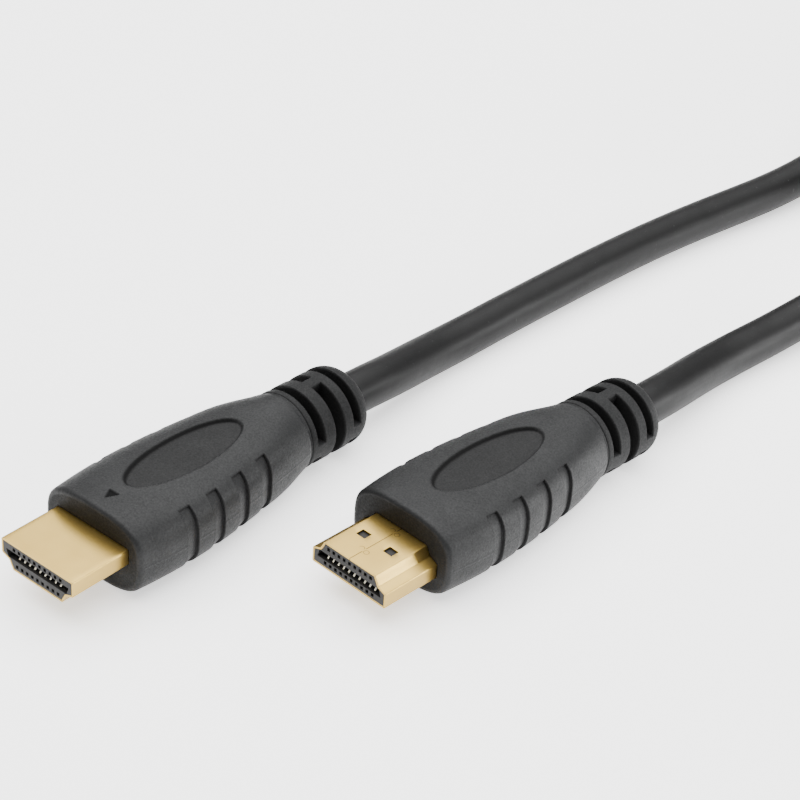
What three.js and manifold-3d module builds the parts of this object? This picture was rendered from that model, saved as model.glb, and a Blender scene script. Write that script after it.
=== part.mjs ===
// A digital video lead: two flat 19-contact plugs, each in a black moulded grip with a slotted
// strain relief, joined by one round sheathed cable that ends in a small tied hank.
// Millimetres, +Z up. The lead lies on a level floor at z = 0 with both plug noses towards -Y.
import * as THREE from 'three';
import { mergeVertices } from 'three/addons/utils/BufferGeometryUtils.js';
import Module from 'manifold-3d';

const wasm = await Module();
wasm.setup();

// Sheet metal shell, seen from its nose with the wide side up
const SHELL = {
  width: 13.9,
  height: 4.45,
  side: 2.45, // upright part of each end wall
  ledgeHalf: 5.55,
  ledgeDrop: 3.0, // from the wide side down to the inner end of the ledge
  narrowHalf: 4.8,
  wall: 0.3,
  corner: 0.5,
  exposed: 9.8,
  seat: 2.5, // how far it goes into the grip
};

// The two square latch windows in the shell's narrow side
const LATCH = { spacing: 5.1, fromNose: 5.2, width: 1.6, length: 1.4 };

// Plastic block inside the shell, with the slot and one small hole for each contact
const INSULATOR = {
  clearance: 0.05,
  setBack: 0.5, // from its rear end to the shell's
  slotWidth: 12.1,
  slotMouth: 11.3, // width of the slot's narrower edge
  slotHeight: 1.2,
  slotDepth: 8.5,
  holeWidth: 0.5,
  holeHeight: 0.55,
  holeDepth: 3.0,
  holeWall: 0.32, // plastic between the row of holes and the block's outside
};

const CONTACT = {
  pitch: 1.0,
  wide: 10, // contacts on the wide side
  narrow: 9,
  width: 0.5,
  thickness: 0.2,
  inset: 0.9, // from the nose to the tip
  rearGap: 0.4, // from its inner end to the slot's
  lift: 0.16, // how far the tip springs away from the slot's wall
  clearance: 0.04,
};

// Moulded grip
const GRIP = {
  frontWidth: 18.4,
  width: 20.0,
  widestAt: 20.0,
  tailWidth: 17.0,
  tailAt: 36.5,
  neckWidth: 13.2,
  height: 12.2,
  end: 46.6,
  rim: 0.6, // rounding of the front edge
  boxiness: 3.0, // exponent of the section's superellipse
  tailBoxiness: 2.5,
  groove: 0.2, // depth of the groove between the grip and its strain relief
  grooveWidth: 0.4,
  pocketClearance: 0.15,
};

// Four stepped finger grips on each side of the grip
const NOTCH = { count: 4, rearEdge: 20.1, pitch: 5.3, length: 2.0, depth: 0.55, reach: 4.75 };

// Shallow oval and arrow on the grip's broad faces
const OVAL = { from: 16.3, to: 38.0, width: 7.8, depth: 0.4 };
const ARROW = { tip: 12.2, length: 1.8, width: 1.8, depth: 0.3 };

// Slotted sleeve where the cable leaves the grip. The outer slots leave a web at each side, a
// little below the middle, and the middle slot leaves one at the top and one at the bottom.
const RELIEF = {
  radius: 6.3,
  end: 60.0,
  rounding: 2.6,
  mouth: 4.2, // radius of the flat ring round the cable
  core: 3.7, // what is left inside the slots
  slots: [
    { at: 48.95, width: 1.95 },
    { at: 52.85, width: 1.95 },
    { at: 56.4, width: 1.45 },
  ],
  sideWeb: 27, // degrees of the ring
  sideWebDrop: 12,
  endWeb: 19,
};

// The sleeve and the tail of the grip lean sideways with the cable
const LEAN = { from: 34.0, length: 30.0, first: 0.9, second: 0.6 };

const CABLE = { diameter: 6.8, sides: 10, gap: 0.3, floorGap: 0.1 };

// Length over which the cable comes down to the floor behind a plug
const FALL = 29.0;

// Where the second stretch starts to climb, and its slope across the floor there
const CLIMB = { x: 34.35, y: 125.0, heading: 0.11 };

// Where the plugs lie, measured from the first plug's nose
const SECOND_PLUG = { x: 28.9, y: 29.35, turn: -4.15 };

// The hank of spare cable, level with the floor apart from the straps under it
const HANK = {
  leftRun: 9.5, // centre of the run that the first plug's cable enters
  near: 188.5,
  length: 115.0,
  foldDiameters: 3, // radius of a fold in cable diameters
  layers: 3,
  nearCorner: 6.0,
};

const TIE = { width: 12.0, thickness: 1.0, gap: 0.3, corner: 1.2, along: 0.5 };

const FLOOR_TO_AXIS = RELIEF.radius;
const shellLength = SHELL.exposed + SHELL.seat;
const WINDOW_MARGIN = 1.0; // how far a cutting solid passes the surface it cuts
const STEP = 0.08; // length over which a sharp step in the moulding rises

const finish = {
  grip: { color: 0x47474a, roughness: 0.72, metalness: 0.0 },
  shell: { color: 0xd9c08a, roughness: 0.28, metalness: 1.0 },
  insulator: { color: 0x4b4a49, roughness: 0.6, metalness: 0.0 },
  contact: { color: 0xe6cf96, roughness: 0.3, metalness: 1.0 },
  cable: { color: 0x2b2b2d, roughness: 0.5, metalness: 0.0 },
  tie: { color: 0x1d1d1f, roughness: 0.8, metalness: 0.0 },
};

const piece = (name, geometry, look) => {
  const mesh = new THREE.Mesh(geometry, new THREE.MeshStandardMaterial(look));
  mesh.name = name;
  return mesh;
};

// Between the geometry classes and the solids that can be cut
const toSolid = (geometry) => {
  const bare = geometry.clone();
  bare.deleteAttribute('normal');
  bare.deleteAttribute('uv');
  const merged = mergeVertices(bare, 1e-5);
  return new wasm.Manifold(
    new wasm.Mesh({
      numProp: 3,
      vertProperties: new Float32Array(merged.attributes.position.array),
      triVerts: new Uint32Array(merged.index.array),
    }),
  );
};

const toGeometry = (solid) => {
  const mesh = solid.getMesh();
  const geometry = new THREE.BufferGeometry();
  geometry.setAttribute('position', new THREE.BufferAttribute(mesh.vertProperties, 3));
  geometry.setIndex(new THREE.BufferAttribute(mesh.triVerts, 1));
  geometry.computeVertexNormals();
  return geometry;
};

const subtractAll = (solid, cutters) =>
  cutters.reduce((rest, cutter) => rest.subtract(toSolid(cutter)), solid);

// Straight-sided solid: a section in x and z, from one y to another
const prism = (shape, from, to, curveSegments = 4) => {
  const geometry = new THREE.ExtrudeGeometry(shape, {
    depth: to - from,
    bevelEnabled: false,
    curveSegments,
  });
  geometry.rotateX(Math.PI / 2);
  geometry.translate(0, to, 0);
  return geometry;
};

const boxBetween = (low, high) => {
  const size = high.map((value, k) => value - low[k]);
  const geometry = new THREE.BoxGeometry(...size);
  geometry.translate(...low.map((value, k) => value + size[k] / 2));
  return geometry;
};

// The outline of a plug, corner by corner and anticlockwise, moved inwards by a distance
const plugCorners = (inset) => {
  const { width, height, side, ledgeHalf, ledgeDrop, narrowHalf } = SHELL;
  const right = [
    [width / 2, height / 2],
    [width / 2, height / 2 - side],
    [ledgeHalf, height / 2 - ledgeDrop],
    [narrowHalf, -height / 2],
  ];
  const left = right.map(([x, z]) => [-x, z]).reverse();
  const corners = [...right, ...left].map(([x, z]) => new THREE.Vector2(x, z)).reverse();
  return corners.map((corner, k) => {
    const before = corners[(k + corners.length - 1) % corners.length];
    const after = corners[(k + 1) % corners.length];
    const into = corner.clone().sub(before).normalize();
    const out = after.clone().sub(corner).normalize();
    const inwards = new THREE.Vector2(-into.y, into.x);
    const half = into.cross(out) / (1 + into.dot(out));
    return corner.clone().addScaledVector(inwards, inset).addScaledVector(into, -inset * half);
  });
};

// A closed outline with every corner rounded
const roundedOutline = (corners, radius, Kind = THREE.Shape) => {
  const shape = new Kind();
  corners.forEach((corner, k) => {
    const before = corners[(k + corners.length - 1) % corners.length];
    const after = corners[(k + 1) % corners.length];
    const reach = Math.min(radius, before.distanceTo(corner) / 3, after.distanceTo(corner) / 3);
    const start = corner.clone().addScaledVector(before.clone().sub(corner).normalize(), reach);
    const end = corner.clone().addScaledVector(after.clone().sub(corner).normalize(), reach);
    if (k === 0) shape.moveTo(start.x, start.y);
    else shape.lineTo(start.x, start.y);
    shape.quadraticCurveTo(corner.x, corner.y, end.x, end.y);
  });
  shape.closePath();
  return shape;
};

const plugOutline = (inset, Kind) =>
  roundedOutline(plugCorners(inset), Math.max(SHELL.corner - inset, SHELL.wall / 2), Kind);

const shellSolid = () => {
  const section = plugOutline(0);
  section.holes.push(plugOutline(SHELL.wall, THREE.Path));
  const windows = [-1, 1].map((side) => {
    const middle = (side * LATCH.spacing) / 2;
    return boxBetween(
      [middle - LATCH.width / 2, LATCH.fromNose - LATCH.length / 2, -SHELL.height / 2 - WINDOW_MARGIN],
      [middle + LATCH.width / 2, LATCH.fromNose + LATCH.length / 2, -SHELL.height / 2 + 2 * SHELL.wall],
    );
  });
  const tube = toSolid(prism(section, 0, shellLength, 3));
  return toGeometry(subtractAll(tube, windows));
};

// Middle height of the slot, the wide side's row of holes and the narrow side's
const insideTop = SHELL.height / 2 - SHELL.wall - INSULATOR.clearance;
const slotTop = insideTop - INSULATOR.holeWall - INSULATOR.holeHeight - INSULATOR.holeWall / 2;
const slotBottom = slotTop - INSULATOR.slotHeight;
const wideRow = insideTop - INSULATOR.holeWall - INSULATOR.holeHeight / 2;
const narrowRow = -wideRow;

const rowPlaces = (count) =>
  Array.from({ length: count }, (_, k) => (k - (count - 1) / 2) * CONTACT.pitch);

const insulatorSolid = () => {
  const { slotWidth, slotMouth, slotDepth, holeWidth, holeHeight, holeDepth } = INSULATOR;
  const slot = new THREE.Shape();
  slot.moveTo(-slotWidth / 2, slotTop);
  slot.lineTo(slotWidth / 2, slotTop);
  slot.lineTo(slotMouth / 2, slotBottom);
  slot.lineTo(-slotMouth / 2, slotBottom);
  slot.closePath();
  const holes = [
    ...rowPlaces(CONTACT.wide).map((x) => [x, wideRow]),
    ...rowPlaces(CONTACT.narrow).map((x) => [x, narrowRow]),
  ].map(([x, z]) =>
    boxBetween(
      [x - holeWidth / 2, -WINDOW_MARGIN, z - holeHeight / 2],
      [x + holeWidth / 2, holeDepth, z + holeHeight / 2],
    ),
  );
  const block = toSolid(
    prism(plugOutline(SHELL.wall + INSULATOR.clearance), 0, shellLength - INSULATOR.setBack, 3),
  );
  return toGeometry(subtractAll(block, [prism(slot, -WINDOW_MARGIN, slotDepth), ...holes]));
};

// A springy strip along the slot's upper or lower wall, its tip bent away from the wall
const contactSolid = (x, upper) => {
  const { width, thickness, inset, rearGap, lift, clearance } = CONTACT;
  const shape = new THREE.Shape();
  const length = INSULATOR.slotDepth - inset - rearGap;
  const tipLength = length / 6;
  shape.moveTo(0, lift);
  shape.lineTo(tipLength, 0);
  shape.lineTo(length, 0);
  shape.lineTo(length, thickness);
  shape.lineTo(tipLength, thickness);
  shape.lineTo(0, lift + thickness);
  shape.closePath();
  const strip = new THREE.ExtrudeGeometry(shape, { depth: width, bevelEnabled: false });
  // The shape's x runs along +Y and its y away from the wall
  strip.rotateY(Math.PI / 2);
  strip.rotateX(Math.PI / 2);
  strip.translate(-width / 2, 0, 0);
  strip.rotateY(upper ? Math.PI : 0);
  const wall = upper ? slotTop - clearance : slotBottom + clearance;
  strip.translate(x, inset, wall);
  return strip;
};

// Half width of the grip and its strain relief at a distance from the nose
const gripSides = new THREE.CatmullRomCurve3(
  [
    [SHELL.exposed, GRIP.frontWidth / 2],
    [GRIP.widestAt, GRIP.width / 2],
    [GRIP.tailAt, GRIP.tailWidth / 2],
    [GRIP.end, GRIP.neckWidth / 2],
  ].map(([y, half]) => new THREE.Vector3(half, y, 0)),
);

const halfWidthAt = (y) => {
  const along = gripSides.getPoints(60);
  const k = Math.max(1, along.findIndex((point) => point.y >= Math.min(y, GRIP.end - 1e-6)));
  const [a, b] = [along[k - 1], along[k]];
  return a.x + ((b.x - a.x) * (y - a.y)) / (b.y - a.y);
};

const smooth = (t) => THREE.MathUtils.smoothstep(t, 0, 1);

const boxinessAt = (y) => {
  const t = (y - GRIP.tailAt) / (GRIP.end - GRIP.tailAt);
  return THREE.MathUtils.lerp(GRIP.boxiness, GRIP.tailBoxiness, smooth(t));
};

// Stations of the grip: distance, half width, half height, exponent and depth of the finger grips
const gripStations = () => {
  const { exposed } = SHELL;
  const half = GRIP.height / 2;
  const stations = [];
  const add = (y, inset = 0, notch = 0) =>
    stations.push([y, halfWidthAt(y) - inset, half - inset, boxinessAt(y), notch]);
  for (const angle of [0, 45, 90]) {
    const turn = THREE.MathUtils.degToRad(angle);
    add(exposed + GRIP.rim * (1 - Math.cos(turn)), GRIP.rim * (1 - Math.sin(turn)));
  }
  const firstNotch = NOTCH.rearEdge - NOTCH.length;
  const lastNotch = NOTCH.rearEdge + (NOTCH.count - 1) * NOTCH.pitch;
  add((exposed + firstNotch) / 2);
  for (let k = 0; k < NOTCH.count; k += 1) {
    const rear = NOTCH.rearEdge + k * NOTCH.pitch;
    add(rear - NOTCH.length, 0, 0);
    add(rear - STEP, 0, NOTCH.depth);
    add(rear, 0, 0);
  }
  for (const share of [1 / 3, 2 / 3, 1]) add(THREE.MathUtils.lerp(lastNotch, GRIP.end, share));
  const neck = RELIEF.radius - GRIP.groove;
  const sleeve = GRIP.end + GRIP.grooveWidth;
  stations.push([GRIP.end + STEP, neck, neck, 2, 0]);
  stations.push([sleeve, neck, neck, 2, 0]);
  stations.push([sleeve + STEP, RELIEF.radius, RELIEF.radius, 2, 0]);
  for (const angle of [0, 30, 60, 90]) {
    const turn = THREE.MathUtils.degToRad(angle);
    const y = RELIEF.end - RELIEF.rounding * (1 - Math.sin(turn));
    const radius = RELIEF.radius - (RELIEF.radius - RELIEF.mouth) * (1 - Math.cos(turn));
    stations.push([y, radius, radius, 2, 0]);
  }
  return stations;
};

// Direction, from the axis, in which the finger grips end
const notchEdge = () => {
  const share = Math.min(NOTCH.reach / (GRIP.height / 2), 0.95);
  const across = (GRIP.width / 2) * (1 - share ** GRIP.boxiness) ** (1 / GRIP.boxiness);
  return Math.atan2(NOTCH.reach, across);
};

// How far the grip's tail and the sleeve lean sideways at a distance from the nose
const leanAt = (y, amount) => amount * smooth((y - LEAN.from) / LEAN.length);

// Directions round the section, doubled where a finger grip ends
const sectionAngles = () => {
  const edge = notchEdge();
  const below = [0, 0.22, 0.44, 0.66, 0.86].map((share) => share * edge);
  const above = [0.12, 0.3, 0.5, 0.68, 0.85].map((share) => THREE.MathUtils.lerp(edge, Math.PI / 2, share));
  const quarter = [...below, edge - 0.01, edge + 0.01, ...above];
  const right = [...quarter.slice(1).map((angle) => -angle).reverse(), ...quarter];
  const left = right.map((angle) => angle + Math.PI);
  return [-Math.PI / 2, ...right, Math.PI / 2, ...left];
};

const gripLoft = (lean) => {
  const angles = sectionAngles();
  const edge = notchEdge();
  const points = [];
  const stations = gripStations();
  for (const [y, half, tall, power, notch] of stations) {
    for (const angle of angles) {
      const [c, s] = [Math.abs(Math.cos(angle)), Math.abs(Math.sin(angle))];
      const radius = ((c / half) ** power + (s / tall) ** power) ** (-1 / power);
      const dipped = Math.abs(Math.atan2(s, c)) < edge ? notch : 0;
      const x = (radius - dipped) * Math.cos(angle) + leanAt(y, lean);
      points.push(x, y, (radius - dipped) * Math.sin(angle));
    }
  }
  const around = angles.length;
  const faces = [];
  for (let row = 0; row + 1 < stations.length; row += 1) {
    for (let k = 0; k < around; k += 1) {
      const next = (k + 1) % around;
      const [a, b] = [row * around + k, row * around + next];
      faces.push(a, a + around, b, b, a + around, b + around);
    }
  }
  // One point in the middle of each end closes the solid
  const front = points.length / 3;
  points.push(0, stations[0][0], 0, leanAt(RELIEF.end, lean), stations.at(-1)[0], 0);
  const last = (stations.length - 1) * around;
  for (let k = 0; k < around; k += 1) {
    const next = (k + 1) % around;
    faces.push(front, k, next, front + 1, last + next, last + k);
  }
  const geometry = new THREE.BufferGeometry();
  geometry.setAttribute('position', new THREE.Float32BufferAttribute(points, 3));
  geometry.setIndex(faces);
  return geometry;
};

// Part of a ring in x and z that cuts one slot of the strain relief
const slotCutter = ({ at, width }, middleDegrees, spanDegrees, lean) => {
  const span = THREE.MathUtils.degToRad(spanDegrees);
  const middle = THREE.MathUtils.degToRad(middleDegrees);
  const shape = new THREE.Shape();
  shape.absarc(0, 0, RELIEF.radius + WINDOW_MARGIN, middle - span / 2, middle + span / 2, false);
  shape.absarc(0, 0, RELIEF.core, middle + span / 2, middle - span / 2, true);
  shape.closePath();
  return prism(shape, at - width / 2, at + width / 2, 10).translate(leanAt(at, lean), 0, 0);
};

// The two cutters of each slot. A plug that lies turned over has its upper side at -z.
const reliefCutters = (up, lean) =>
  RELIEF.slots.flatMap((slot, ring) => {
    const { sideWeb, sideWebDrop, endWeb } = RELIEF;
    if (ring % 2) return [0, 180].map((middle) => slotCutter(slot, middle, 180 - endWeb, lean));
    return [1, -1].map((side) =>
      slotCutter(slot, 90 * side * up, 180 - sideWeb + 2 * side * sideWebDrop, lean),
    );
  });

const broadFaceCutter = (shape, depth, side) => {
  const top = GRIP.height / 2;
  const cutter = new THREE.ExtrudeGeometry(shape, {
    depth: depth + WINDOW_MARGIN,
    bevelEnabled: false,
    curveSegments: 10,
  });
  cutter.translate(0, 0, top - depth);
  if (side < 0) cutter.rotateY(Math.PI);
  return cutter;
};

const ovalShape = () => {
  const shape = new THREE.Shape();
  const middle = (OVAL.from + OVAL.to) / 2;
  shape.absellipse(0, middle, OVAL.width / 2, (OVAL.to - OVAL.from) / 2, 0, 2 * Math.PI);
  return shape;
};

const arrowShape = () => {
  const shape = new THREE.Shape();
  shape.moveTo(0, ARROW.tip);
  shape.lineTo(ARROW.width / 2, ARROW.tip + ARROW.length);
  shape.lineTo(-ARROW.width / 2, ARROW.tip + ARROW.length);
  shape.closePath();
  return shape;
};

// Grip and strain relief in one moulding, with the pocket that holds the shell
const gripSolid = (up, lean) => {
  const pocketOutline = plugOutline(-GRIP.pocketClearance);
  const pocketEnd = shellLength + GRIP.pocketClearance;
  const cutters = [
    prism(pocketOutline, SHELL.exposed - WINDOW_MARGIN, pocketEnd, 3),
    broadFaceCutter(ovalShape(), OVAL.depth, 1),
    broadFaceCutter(ovalShape(), OVAL.depth, -1),
    broadFaceCutter(arrowShape(), ARROW.depth, 1),
    ...reliefCutters(up, lean),
  ];
  return toGeometry(subtractAll(toSolid(gripLoft(lean)), cutters));
};

// up is 1 for a plug with its wide side up and -1 for one that lies turned over
const makePlug = (letter, up, lean) => {
  const plug = new THREE.Group();
  plug.add(piece(`grip_${letter}`, gripSolid(up, lean * up), finish.grip));
  plug.add(piece(`shell_${letter}`, shellSolid(), finish.shell));
  plug.add(piece(`insulator_${letter}`, insulatorSolid(), finish.insulator));
  rowPlaces(CONTACT.wide).forEach((x, k) => {
    plug.add(piece(`contact_${letter}_wide_${k + 1}`, contactSolid(x, true), finish.contact));
  });
  rowPlaces(CONTACT.narrow).forEach((x, k) => {
    plug.add(piece(`contact_${letter}_narrow_${k + 1}`, contactSolid(x, false), finish.contact));
  });
  return plug;
};

const plugs = new THREE.Group();
const firstPlug = makePlug('a', 1, LEAN.first);
firstPlug.position.z = FLOOR_TO_AXIS;
const secondPlug = makePlug('b', -1, LEAN.second);
secondPlug.rotation.order = 'ZYX';
secondPlug.rotation.set(0, Math.PI, THREE.MathUtils.degToRad(SECOND_PLUG.turn));
secondPlug.position.set(SECOND_PLUG.x, SECOND_PLUG.y, FLOOR_TO_AXIS);
plugs.add(firstPlug, secondPlug);

// The two open stretches go from a plug's strain relief to the hank. Each comes down to the floor
// behind its plug, lies there in a loose curve, and meets its own layer of the hank.
const radius = CABLE.diameter / 2;
const fold = HANK.foldDiameters * CABLE.diameter;
const rightRun = HANK.leftRun + 2 * fold;
const hankBase = TIE.thickness + TIE.gap;
const layerHeight = (layer) => hankBase + radius + layer * CABLE.diameter;
const nearFace = HANK.near - CABLE.gap;
const lying = radius + CABLE.floorGap;
const shares = (count) => Array.from({ length: count }, (_, k) => k / (count - 1));

// A point of the cable behind a plug, from its place across and along the plug
const exitAt = RELIEF.end + CABLE.gap;
const fallen = ([across, along]) => [
  across,
  along,
  THREE.MathUtils.lerp(FLOOR_TO_AXIS, lying, smooth((along - exitAt) / FALL)),
];

const firstRoute = [
  ...[
    [leanAt(exitAt, LEAN.first), exitAt],
    [0.93, 64.5],
    [0.88, 68.6],
    [0.55, 73.7],
    [0.08, 79],
    [-0.18, 84.2],
    [-0.08, 90],
    [0.31, 99.6],
    [0.84, 109.8],
    [1.46, 120.3],
    [2.25, 131],
    [3.35, 141.7],
    [4.85, 152.5],
    [6.75, 164],
  ].map(fallen),
  [8.35, 174, lying + 0.25],
  [9.3, 182, lying + 0.8],
  [HANK.leftRun, nearFace, layerHeight(0)],
];

const turn = THREE.MathUtils.degToRad(SECOND_PLUG.turn);
const besideSecond = ([across, along, z]) => [
  SECOND_PLUG.x + across * Math.cos(turn) - along * Math.sin(turn),
  SECOND_PLUG.y + across * Math.sin(turn) + along * Math.cos(turn),
  z,
];

// Two equal arcs that take the second stretch sideways and up to the hank's top layer
const arcShare = (t) => (t < 0.5 ? 2 * t * t : 1 - 2 * (1 - t) * (1 - t));
const climb = shares(10).map((t) => {
  const y = THREE.MathUtils.lerp(CLIMB.y, nearFace, t);
  const ahead = CLIMB.heading * (y - CLIMB.y) * (1 - t) * (1 - t);
  return [
    THREE.MathUtils.lerp(CLIMB.x, rightRun, arcShare(t)) + ahead,
    y,
    THREE.MathUtils.lerp(lying, layerHeight(HANK.layers - 1), arcShare(t)),
  ];
});
const secondRoute = [
  ...[
    [leanAt(exitAt, LEAN.second), exitAt],
    [0.5, 64.5],
    [0.15, 68.8],
    [-0.5, 73.7],
    [-1.3, 79.5],
    [-1.75, 85.4],
    [-1.7, 91],
  ].map((point) => besideSecond(fallen(point))),
  ...climb,
];

const cableStretch = (name, route) => {
  const path = new THREE.CatmullRomCurve3(route.map((point) => new THREE.Vector3(...point)));
  const section = new THREE.Shape();
  section.absarc(0, 0, radius, 0, 2 * Math.PI);
  const geometry = new THREE.ExtrudeGeometry(section, {
    extrudePath: path,
    steps: route.length + 2,
    curveSegments: CABLE.sides / 2,
  });
  return piece(name, geometry, finish.cable);
};

// Outline of the hank seen from above: round at the far end, square where the cable comes and goes
const hankSolid = () => {
  const outer = fold + radius;
  const middle = HANK.leftRun + fold;
  const nearFold = HANK.near + outer;
  const farFold = HANK.near + HANK.length - outer;
  const { near, nearCorner } = HANK;
  const shape = new THREE.Shape();
  shape.moveTo(middle - outer, near + nearCorner);
  shape.quadraticCurveTo(middle - outer, near, middle - outer + nearCorner, near);
  shape.lineTo(middle + outer - nearCorner, near);
  shape.quadraticCurveTo(middle + outer, near, middle + outer, near + nearCorner);
  shape.lineTo(middle + outer, farFold);
  shape.absarc(middle, farFold, outer, 0, Math.PI, false);
  shape.closePath();
  const inner = fold - radius;
  const hole = new THREE.Path();
  hole.absarc(middle, farFold, inner, 0, Math.PI, false);
  hole.absarc(middle, nearFold, inner, Math.PI, 2 * Math.PI, false);
  hole.closePath();
  shape.holes.push(hole);
  const geometry = new THREE.ExtrudeGeometry(shape, {
    depth: HANK.layers * CABLE.diameter,
    bevelEnabled: false,
    curveSegments: 12,
  });
  geometry.translate(0, 0, hankBase);
  return geometry;
};

// A closed strap round one of the hank's two runs
const tieSolid = (run) => {
  const { width, thickness, gap, corner, along } = TIE;
  const at = HANK.near + HANK.length * along;
  const band = (halfAcross, low, high, rounding, Kind) =>
    roundedOutline(
      [
        new THREE.Vector2(run - halfAcross, low),
        new THREE.Vector2(run + halfAcross, low),
        new THREE.Vector2(run + halfAcross, high),
        new THREE.Vector2(run - halfAcross, high),
      ],
      rounding,
      Kind,
    );
  const top = hankBase + HANK.layers * CABLE.diameter + gap;
  const section = band(radius + gap + thickness, 0, top + thickness, corner);
  section.holes.push(band(radius + gap, thickness, top, corner - thickness, THREE.Path));
  return prism(section, at - width / 2, at + width / 2, 3);
};

const lead = new THREE.Group();
lead.add(
  plugs,
  cableStretch('cable_from_a', firstRoute),
  cableStretch('cable_from_b', secondRoute),
  piece('hank', hankSolid(), finish.cable),
  piece('tie', tieSolid(HANK.leftRun), finish.tie),
  piece('tie_right', tieSolid(rightRun), finish.tie),
);

// The origin is on the floor under the middle of the two plugs
lead.updateMatrixWorld(true);
const middle = new THREE.Box3().setFromObject(plugs, true).getCenter(new THREE.Vector3());
lead.position.set(-middle.x, -middle.y, 0);

const part = new THREE.Group();
part.add(lead);
part.updateMatrixWorld(true);

export default part;
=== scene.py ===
"""Looks of a digital video lead: two flat plugs with gold shells in charcoal grips, joined by one
black cable whose spare length lies in a tied hank. Metres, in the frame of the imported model."""
import math

import bmesh
import bpy
import numpy as np
from mathutils import Matrix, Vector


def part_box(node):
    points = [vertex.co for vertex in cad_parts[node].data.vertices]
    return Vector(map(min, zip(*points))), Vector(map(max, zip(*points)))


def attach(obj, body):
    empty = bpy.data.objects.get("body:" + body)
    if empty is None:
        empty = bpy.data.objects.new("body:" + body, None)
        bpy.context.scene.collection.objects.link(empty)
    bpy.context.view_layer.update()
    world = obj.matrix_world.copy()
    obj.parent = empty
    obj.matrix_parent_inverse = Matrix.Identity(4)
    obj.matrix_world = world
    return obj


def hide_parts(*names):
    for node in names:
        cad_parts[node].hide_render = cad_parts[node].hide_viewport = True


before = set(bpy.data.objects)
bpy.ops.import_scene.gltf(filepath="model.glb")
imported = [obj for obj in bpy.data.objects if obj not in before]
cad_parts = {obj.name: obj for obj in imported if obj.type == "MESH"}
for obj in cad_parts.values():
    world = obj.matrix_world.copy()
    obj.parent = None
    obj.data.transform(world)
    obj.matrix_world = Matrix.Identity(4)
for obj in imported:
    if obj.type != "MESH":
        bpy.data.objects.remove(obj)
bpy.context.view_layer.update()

MM = 0.001

# Sizes of a plug, along y from its nose, across in x and up from its axis in z
AXIS_HEIGHT = 6.3 * MM
SHELL_FACE = 9.8 * MM
SHELL_LENGTH = 12.3 * MM
SHEET = 0.3 * MM
GRIP_END = 46.6 * MM
GRIP_HALF_HEIGHT = 6.1 * MM
SLEEVE_RADIUS = 6.3 * MM
SLEEVE_END = 59.6 * MM
CABLE_RADIUS = 3.4 * MM
# Each nose's place across and along, the turn about z in degrees, and whether the plug lies
# turned over
PLUG_PLACES = {"a": (0.0, 0.0, 0.0, False), "b": (28.9 * MM, 29.35 * MM, -4.15, True)}
# How far each tail leans sideways with its cable
LEAN = {"a": 0.9 * MM, "b": 0.6 * MM}
LEAN_START, LEAN_LENGTH = 34.0 * MM, 30.0 * MM

nose_low, nose_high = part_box("shell_a")
FIRST_NOSE = np.array([(nose_low.x + nose_high.x) / 2, nose_low.y, 0.0])


# Shapes

def ease(t):
    """Smooth share from 0 to 1: three t squared less two t cubed, held at both ends."""
    t = np.clip(t, 0.0, 1.0)
    return t * t * (3.0 - 2.0 * t)


def step_at(value, at, width):
    """A soft step from 0 to 1, centred on a value and as wide as asked."""
    return ease((value - at) / width + 0.5)


def spline(knots, values, at):
    """Natural cubic spline: the second slopes at the knots solve one linear system, and each
    span is a cubic between its two knots."""
    knots, values, at = (np.asarray(a, float) for a in (knots, values, at))
    values = values.reshape(len(knots), -1)
    gaps = np.diff(knots)
    system = np.eye(len(knots))
    right = np.zeros_like(values)
    inner = np.arange(1, len(knots) - 1)
    system[inner, inner - 1] = gaps[:-1]
    system[inner, inner] = 2 * (gaps[:-1] + gaps[1:])
    system[inner, inner + 1] = gaps[1:]
    slopes = np.diff(values, axis=0) / gaps[:, None]
    right[inner] = 6 * np.diff(slopes, axis=0)
    second = np.linalg.solve(system, right)
    k = np.clip(np.searchsorted(knots, at, side="right") - 1, 0, len(gaps) - 1)
    h = gaps[k][:, None]
    a = ((knots[k + 1] - at) / gaps[k])[:, None]
    b = 1.0 - a
    bend = (a ** 3 - a) * second[k] + (b ** 3 - b) * second[k + 1]
    return a * values[k] + b * values[k + 1] + bend * h * h / 6


def bell(distance, width):
    """Falls from 1 to nothing on both sides: e to the power of minus the squared share of the
    width."""
    return np.exp(-(distance / width) ** 2)


def turned_by(degrees):
    """What rows of points are multiplied by to turn them about z."""
    c, s = math.cos(math.radians(degrees)), math.sin(math.radians(degrees))
    return np.array([[c, s, 0.0], [-s, c, 0.0], [0.0, 0.0, 1.0]])


def to_model(points, plug):
    """Takes points from a plug's own frame to the model's: the second plug is first rolled half
    a turn about its axis, and both are turned about z, raised to the axis and moved."""
    x, y, degrees, rolled = PLUG_PLACES[plug]
    points = np.array(points, float)
    if rolled:
        points = points * np.array([-1.0, 1.0, -1.0])
    return points @ turned_by(degrees) + np.array([x, y, AXIS_HEIGHT]) + FIRST_NOSE


def lean_at(y, plug):
    """How far the tail and the strain relief of a grip lean sideways with the cable."""
    return LEAN[plug] * ease((y - LEAN_START) / LEAN_LENGTH)


def make_piece(name, points, faces, corner_uv=None):
    """A mesh object at the origin from its points and faces, with an optional UV per corner."""
    mesh = bpy.data.meshes.new(name)
    mesh.from_pydata(np.asarray(points, float).reshape(-1, 3).tolist(), [], faces)
    if corner_uv is not None:
        layer = mesh.uv_layers.new(name="surface")
        layer.data.foreach_set("uv", np.asarray(corner_uv, np.float32).ravel())
    mesh.polygons.foreach_set("use_smooth", np.ones(len(mesh.polygons), bool))
    mesh.update()
    piece = bpy.data.objects.new(name, mesh)
    bpy.context.scene.collection.objects.link(piece)
    return piece


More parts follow.
